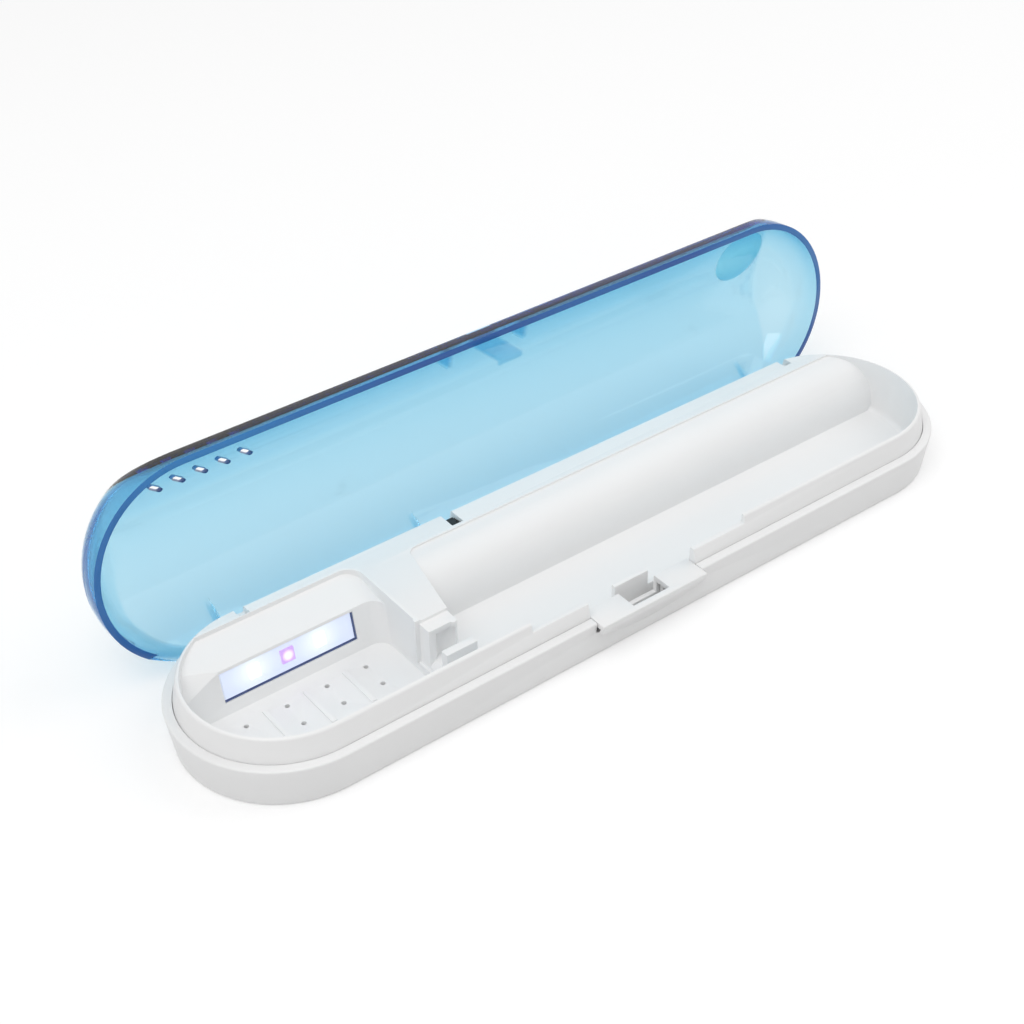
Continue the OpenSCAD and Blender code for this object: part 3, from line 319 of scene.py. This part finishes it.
def clearWindow(name, cfg):
    # polished fused quartz, with a painted shadow along its lower edge and right end: a dark matt
    # band where the gap to the sill lies in shade
    mat, tree = newMaterial(name)
    low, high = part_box("uv_window")
    coords = addNode(tree, "ShaderNodeTexCoord")
    place = addNode(tree, "ShaderNodeSeparateXYZ", None, {"Vector": (coords, "Object")})
    # the mask of the painted shadow: the pane's lowest and rightmost strips
    lower = addNode(tree, "ShaderNodeMath", {"operation": "LESS_THAN", 1: low[2] + cfg["bead"]},
                    {0: (place, "Z")})
    right = addNode(tree, "ShaderNodeMath",
                    {"operation": "GREATER_THAN", 1: high[0] - cfg["bead"]}, {0: (place, "X")})
    edge = largest(tree, [(lower, "Value"), (right, "Value")])
    pane = addNode(tree, "ShaderNodeBsdfPrincipled",
                   {"Base Color": (1, 1, 1, 1), "Roughness": cfg["roughness"],
                    "IOR": cfg["bend"], "Transmission Weight": 1.0})
    # painted shadow: a dark matt skin in place of the pane
    bead = addNode(tree, "ShaderNodeBsdfPrincipled",
                   {"Base Color": toLinear(cfg["beadColour"]), "Roughness": cfg["beadRoughness"]})
    both = addNode(tree, "ShaderNodeMixShader", None,
                   {0: edge, 1: (pane, "BSDF"), 2: (bead, "BSDF")})
    addNode(tree, "ShaderNodeOutputMaterial", None, {"Surface": (both, "Shader")})
    return mat


def middle(node):
    low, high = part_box(node)
    return [(a + b) / 2 for a, b in zip(low, high)]


# The LED board's chips, from the CAD: one violet LED with a white one at each side
sideLedWidth = 2.8 * mm
violetChip = middle("uvc_led")
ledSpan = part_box("side_leds")[1][0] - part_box("side_leds")[0][0] - sideLedWidth
sideChips = [(violetChip[0] + side * ledSpan / 2, violetChip[1], violetChip[2])
             for side in (-1, 1)]

# Settings of the materials: sizes and depths of grain are real ones
hardwareGrain = (0.4 * mm, 0.01 * mm)
shellAbs = {"grain": (0.35 * mm, 0.004 * mm), "cloud": 30 * mm, "ior": 1.53,
            "colours": ("#eeeeee", "#ebebeb"), "roughness": (0.34, 0.40)}
trayAbs = {**shellAbs, "colours": ("#f0f0f0", "#ededed"), "roughness": (0.30, 0.36)}
lidBlue = {"perMillimetre": (0.366, 0.134, 0.0565), "roughness": 0.01, "bend": 1.03,
           "coat": 1.0, "coatIor": 1.5, "coatRoughness": 0.04, "ripple": (9 * mm, 0.02 * mm)}
badgeBlue = {**lidBlue, "perMillimetre": (1.1, 0.3, 0.16), "roughness": 0.3, "coat": 0.4}
# end face: painted light, an opaque deep blue for the light piped along the dyed wall
endFacePaintedLight = {"colours": ("#0f4f9c", "#1f78bb"), "roughness": 0.3, "stretch": 45 * mm,
           "contrast": (0.35, 0.65), "grain": (0.8 * mm, 0.01 * mm), "ior": 1.585}
# arris: a painted highlight, pale cyan along the lid's broken edges
arris = {**endFacePaintedLight, "colours": ("#7fd3ee", "#a5e6f6"), "roughness": 0.08}
# the board's glow is painted light from its chips
boardLit = {"skin": "#8c92a0", "glow": ("#dfe9ff", "#f6ffff"), "strength": 0.78,
            "chips": sideChips, "inner": 1.5 * mm, "outer": 7 * mm,
            "grain": (0.5 * mm, 0.005 * mm), "roughness": 0.5}
violetLit = {**boardLit, "skin": "#a08cc8", "glow": ("#b58cf5", "#fff4ff"), "strength": 0.95,
             "chips": [violetChip], "inner": 0.6 * mm, "outer": 1.9 * mm}
sideLit = {**boardLit, "skin": "#c8d8e0", "glow": ("#eefcff", "#ffffff"), "strength": 1.0,
           "inner": 0.8 * mm, "outer": 2.4 * mm}
# the quartz window; the dark band along its lower edge and right end is painted shadow
quartz = {"roughness": 0.08, "bend": 1.1, "bead": 0.32 * mm, "beadColour": "#5d6c9a",
          "beadRoughness": 0.5}

finishes = {
    "shell": absWhite("white ABS, shell", shellAbs),
    "tray": absWhite("white ABS, tray", trayAbs),
    "lid": tintedPolycarbonate("blue polycarbonate", lidBlue),
    "lidEdgePaintedLight": paintedEdgeLight("blue polycarbonate, end face, painted light", endFacePaintedLight),
    "lidArrisPaintedHighlight": paintedEdgeLight("blue polycarbonate, arris, painted highlight", arris),
    "badge": tintedPolycarbonate("frosted blue polycarbonate", badgeBlue),
    "board": litPanel("white LED board, painted glow", boardLit),
    "violet": litPanel("violet LED", violetLit),
    "sideLed": litPanel("white LED", sideLit),
    "window": clearWindow("quartz window", quartz),
    "black": plain("black acetal", "#1a1b1d", 0.45),
    "green": plain("green solder resist", "#1d5a3a", 0.4),
    "steel": plain("spring steel", "#b9bbbd", 0.3, metallic=1.0),
    "cell": plain("steel cell jacket", "#8f9296", 0.35, metallic=1.0),
    "redWire": plain("red PVC wire", "#a02020", 0.5),
    "greyWire": plain("grey PVC wire", "#8b8f98", 0.5),
}

nodeFinish = {
    "lid_badge": "badge", "led_board": "board", "uvc_led": "violet",
    "side_leds": "sideLed", "uv_window": "window", "lid_switch_body": "black",
    "lid_switch_plunger": "black", "board_components": "black", "control_board": "green",
    "battery_spring": "steel", "battery_contacts": "steel", "lid_switch_spring": "steel",
    "latch_springs": "steel", "hinge_pin_left": "steel", "hinge_pin_right": "steel",
    "board_screws": "steel", "case_screws": "steel", "battery_cell_left": "cell",
    "battery_cell_right": "cell", "power_wires": "redWire", "led_wires": "greyWire",
}

for node, finish in nodeFinish.items():
    piece = frame["nodes"][node]
    piece.data.materials.clear()
    piece.data.materials.append(finishes[finish])
print("materials set")


# Moulded pieces: the CAD shape with its sharp edges broken, as a mould leaves them

moulded = {
    "lower_shell": {"piece": "lowerShell", "body": "base", "slot": "shell_plastic",
                    "finish": "shell", "edge": 0.22 * mm},
    "inner_tray": {"piece": "innerTray", "body": "base", "slot": "tray_plastic",
                   "finish": "tray", "edge": 0.34 * mm},
    "latch_button": {"piece": "latchButton", "body": "latch_button", "slot": "shell_plastic",
                     "finish": "shell", "edge": 0.18 * mm},
    "battery_door": {"piece": "batteryDoor", "body": "battery_door", "slot": "shell_plastic",
                     "finish": "shell", "edge": 0.15 * mm},
}

# the rim's place and the box that holds the vents are those of the shut lid
lid = {
    "piece": "lidShell", "body": "lid", "slot": "lid_plastic", "edge": 0.22 * mm,
    "rimAboveHinge": 7.0 * mm, "rimWithin": 0.05 * mm, "facingDown": -0.99,
    "ventsLeftOf": -60 * mm, "ventsAbove": 18 * mm, "ventsWithin": 20 * mm, "upright": 0.25,
}

# distances in metres, angles in degrees
weld = {"gap": 0.002 * mm, "flatWithin": 0.6}
bevel = {"sharpFrom": 32, "segments": 2, "smoothBelow": 38}


def mergedCopy(node, name):
    mesh = frame["nodes"][node].data.copy()
    mesh.materials.clear()
    work = bmesh.new()
    work.from_mesh(mesh)
    bmesh.ops.remove_doubles(work, verts=work.verts, dist=weld["gap"])
    bmesh.ops.dissolve_limit(work, angle_limit=math.radians(weld["flatWithin"]),
                             verts=work.verts, edges=work.edges, delimit={"NORMAL"})
    work.to_mesh(mesh)
    work.free()
    piece = bpy.data.objects.new(name, mesh)
    bpy.context.collection.objects.link(piece)
    return piece


def bakeModifiers(piece):
    shaped = piece.evaluated_get(bpy.context.evaluated_depsgraph_get())
    mesh = bpy.data.meshes.new_from_object(shaped)
    piece.modifiers.clear()
    piece.data = mesh
    return mesh


def breakEdges(piece, width, material=-1):
    # material: slot of the bevel's own faces, or -1 for that of the faces beside them
    edge = piece.modifiers.new("edges", "BEVEL")
    edge.width = width
    edge.segments = bevel["segments"]
    edge.limit_method = "ANGLE"
    edge.angle_limit = math.radians(bevel["sharpFrom"])
    edge.use_clamp_overlap = True
    edge.miter_outer = "MITER_ARC"
    edge.material = material
    mesh = bakeModifiers(piece)
    mesh.shade_smooth()
    mesh.set_sharp_from_angle(angle=math.radians(bevel["smoothBelow"]))
    return mesh


def handOver(piece, body, slot, *nodes):
    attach(piece, body)
    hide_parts(*nodes)


for node, cfg in moulded.items():
    piece = mergedCopy(node, cfg["piece"])
    mesh = breakEdges(piece, cfg["edge"])
    mesh.materials.append(finishes[cfg["finish"]])
    handOver(piece, cfg["body"], cfg["slot"], node)
print("moulded pieces made")


def closedLidFrame():
    # the turn that takes a point of the open lid to its place when shut, and the hinge's place
    hinge = next(j for j in frame["joints"] if j["name"] == "lid_hinge")
    pin = Vector(hinge["pos_m"])
    turn = Matrix.Rotation(math.radians(hinge["range_deg"][1]), 4, "X")
    return Matrix.Translation(pin) @ turn @ Matrix.Translation(-pin), pin


def makeLid(cfg):
    # the rim's flat and the walls of the vents get painted light, for light piped along the sheet;
    # the broken edges get a painted highlight
    piece = mergedCopy("lid_shell", cfg["piece"])
    slots = ("lid", "lidEdgePaintedLight", "lidArrisPaintedHighlight")
    for finish in slots:
        piece.data.materials.append(finishes[finish])
    # the bevel's own faces take the painted highlight
    mesh = breakEdges(piece, cfg["edge"], material=slots.index("lidArrisPaintedHighlight"))
    toShut, pin = closedLidFrame()
    rimZ = pin.z + cfg["rimAboveHinge"]
    for face in mesh.polygons:
        place = toShut @ face.center
        normal = toShut.to_3x3() @ face.normal
        onRim = normal.z < cfg["facingDown"] and abs(place.z - rimZ) < cfg["rimWithin"]
        inVent = (place.x < cfg["ventsLeftOf"] and place.z > cfg["ventsAbove"]
                  and abs(place.y) < cfg["ventsWithin"] and abs(normal.z) < cfg["upright"])
        if onRim or (inVent and face.material_index == slots.index("lid")):
            face.material_index = slots.index("lidEdgePaintedLight")
    handOver(piece, cfg["body"], cfg["slot"], "lid_shell")


makeLid(lid)
print("lid made")


# Repeated hardware: cross-head screws and the battery's coil spring

screws = {
    "piece": "caseScrews", "headSides": 48, "shankSides": 32,
    "sizes": {"headRadius": 2.1 * mm, "headHeight": 1.1 * mm, "shankRadius": 1.1 * mm,
              "crossLength": 2.6 * mm, "crossWidth": 0.5 * mm, "crossDepth": 0.7 * mm},
}
spring = {"piece": "batterySpring", "radius": 3.2 * mm, "wire": 0.3 * mm, "turns": 4,
          "stepsPerTurn": 24, "wireSides": 10}


def newTree(name, sizes):
    # a Geometry Nodes tree with a named input for each size
    tree = bpy.data.node_groups.new(name, "GeometryNodeTree")
    sockets = tree.interface
    sockets.new_socket(name="Geometry", in_out="INPUT", socket_type="NodeSocketGeometry")
    for size in sizes:
        sockets.new_socket(name=size, in_out="INPUT", socket_type="NodeSocketFloat")
    sockets.new_socket(name="Geometry", in_out="OUTPUT", socket_type="NodeSocketGeometry")
    return tree, addNode(tree, "NodeGroupInput")


def endTree(tree, given, shape, material):
    # one copy of the shape at each given point, as plain flat-shaded mesh of one material
    copies = addNode(tree, "GeometryNodeInstanceOnPoints", None,
                     {"Points": (given, "Geometry"), "Instance": (shape, "Geometry")})
    real = addNode(tree, "GeometryNodeRealizeInstances", None, {"Geometry": (copies, "Instances")})
    flat = addNode(tree, "GeometryNodeSetShadeSmooth", {"Shade Smooth": False},
                   {"Geometry": (real, "Geometry")})
    finish = addNode(tree, "GeometryNodeSetMaterial", {"Material": material},
                     {"Geometry": (flat, "Geometry")})
    addNode(tree, "NodeGroupOutput", None, {"Geometry": (finish, "Geometry")})


def growPiece(name, points, tree, sizes):
    # a mesh of bare points, turned into the piece by the tree
    mesh = bpy.data.meshes.new(name)
    mesh.from_pydata(points, [], [])
    piece = bpy.data.objects.new(name, mesh)
    bpy.context.collection.objects.link(piece)
    grow = piece.modifiers.new("grow", "NODES")
    grow.node_group = tree
    for socket in tree.interface.items_tree:
        if socket.in_out == "INPUT" and socket.name in sizes:
            grow[socket.identifier] = sizes[socket.name]
    bakeModifiers(piece)
    return piece


def solidBoxes(node):
    # the lowest and highest corner of each separate solid of a CAD node
    work = bmesh.new()
    work.from_mesh(frame["nodes"][node].data)
    bmesh.ops.remove_doubles(work, verts=work.verts, dist=weld["gap"])
    left, boxes = set(work.verts), []
    while left:
        group, front = set(), [left.pop()]
        while front:
            vert = front.pop()
            group.add(vert)
            near = [e.other_vert(vert) for e in vert.link_edges]
            front += [v for v in near if v in left]
            left.difference_update(near)
        axes = [[v.co[i] for v in group] for i in range(3)]
        boxes.append(([min(a) for a in axes], [max(a) for a in axes]))
    work.free()
    return boxes


def crossScrewTree(cfg, length, material):
    # head down at the point, its cross cut by two bars, the shank above it
    tree, given = newTree("crossScrews", cfg["sizes"])
    halfHead = addNode(tree, "ShaderNodeMath", {"operation": "MULTIPLY", 1: 0.5},
                       {0: (given, "headHeight")})
    headAt = addNode(tree, "ShaderNodeCombineXYZ", None, {"Z": (halfHead, "Value")})
    head = addNode(tree, "GeometryNodeMeshCylinder", {"Vertices": cfg["headSides"]},
                   {"Radius": (given, "headRadius"), "Depth": (given, "headHeight")})
    head = addNode(tree, "GeometryNodeTransform", None,
                   {"Geometry": (head, "Mesh"), "Translation": (headAt, "Vector")})
    # a bar is centred on the head's face, so it is twice as tall as its cut is deep
    tall = addNode(tree, "ShaderNodeMath", {"operation": "MULTIPLY", 1: 2.0},
                   {0: (given, "crossDepth")})
    crossed = (head, "Geometry")
    for first, second in (("crossLength", "crossWidth"), ("crossWidth", "crossLength")):
        size = addNode(tree, "ShaderNodeCombineXYZ", None,
                       {"X": (given, first), "Y": (given, second), "Z": (tall, "Value")})
        bar = addNode(tree, "GeometryNodeMeshCube", None, {"Size": (size, "Vector")})
        cut = addNode(tree, "GeometryNodeMeshBoolean", {"operation": "DIFFERENCE"},
                      {0: crossed, 1: (bar, "Mesh")})
        crossed = (cut, "Mesh")
    shankMiddle = addNode(tree, "ShaderNodeMath", {"operation": "ADD", 1: length / 2},
                          {0: (given, "headHeight")})
    shankAt = addNode(tree, "ShaderNodeCombineXYZ", None, {"Z": (shankMiddle, "Value")})
    shank = addNode(tree, "GeometryNodeMeshCylinder",
                    {"Vertices": cfg["shankSides"], "Depth": length},
                    {"Radius": (given, "shankRadius")})
    shank = addNode(tree, "GeometryNodeTransform", None,
                    {"Geometry": (shank, "Mesh"), "Translation": (shankAt, "Vector")})
    whole = addNode(tree, "GeometryNodeJoinGeometry")
    for source, output in ((shank, "Geometry"), crossed):
        tree.links.new(source.outputs[output], whole.inputs[0])
    endTree(tree, given, whole, material)
    return tree


def makeScrews(cfg):
    boxes = solidBoxes("case_screws")
    seats = [((low[0] + high[0]) / 2, (low[1] + high[1]) / 2, low[2]) for low, high in boxes]
    length = boxes[0][1][2] - boxes[0][0][2] - cfg["sizes"]["headHeight"]
    tree = crossScrewTree(cfg, length, finishes["steel"])
    piece = growPiece(cfg["piece"], seats, tree, cfg["sizes"])
    handOver(piece, "base", "steel", "case_screws")


def springTree(cfg, sizes, material):
    # an open coil along the case, its start at the point
    tree, given = newTree("coilSpring", sizes)
    path = addNode(tree, "GeometryNodeCurveSpiral", {"Resolution": cfg["stepsPerTurn"]},
                   {"Rotations": (given, "turns"), "Start Radius": (given, "radius"),
                    "End Radius": (given, "radius"), "Height": (given, "rise")})
    section = addNode(tree, "GeometryNodeCurvePrimitiveCircle", {"Resolution": cfg["wireSides"]},
                      {"Radius": (given, "wire")})
    tube = addNode(tree, "GeometryNodeCurveToMesh", {"Fill Caps": True},
                   {"Curve": (path, "Curve"), "Profile Curve": (section, "Curve")})
    lying = addNode(tree, "GeometryNodeTransform", {"Rotation": (0, math.pi / 2, 0)},
                    {"Geometry": (tube, "Mesh")})
    endTree(tree, given, lying, material)
    return tree


def makeSpring(cfg):
    low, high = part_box("battery_spring")
    rise = high[0] - low[0] - 2 * cfg["wire"]
    sizes = {"radius": cfg["radius"], "wire": cfg["wire"], "turns": float(cfg["turns"]),
             "rise": rise}
    start = (low[0] + cfg["wire"], (low[1] + high[1]) / 2, (low[2] + high[2]) / 2)
    tree = springTree(cfg, sizes, finishes["steel"])
    piece = growPiece(cfg["piece"], [start], tree, sizes)
    piece.data.shade_smooth()
    handOver(piece, "base", "steel", "battery_spring")


makeScrews(screws)
makeSpring(spring)
print("hardware made")
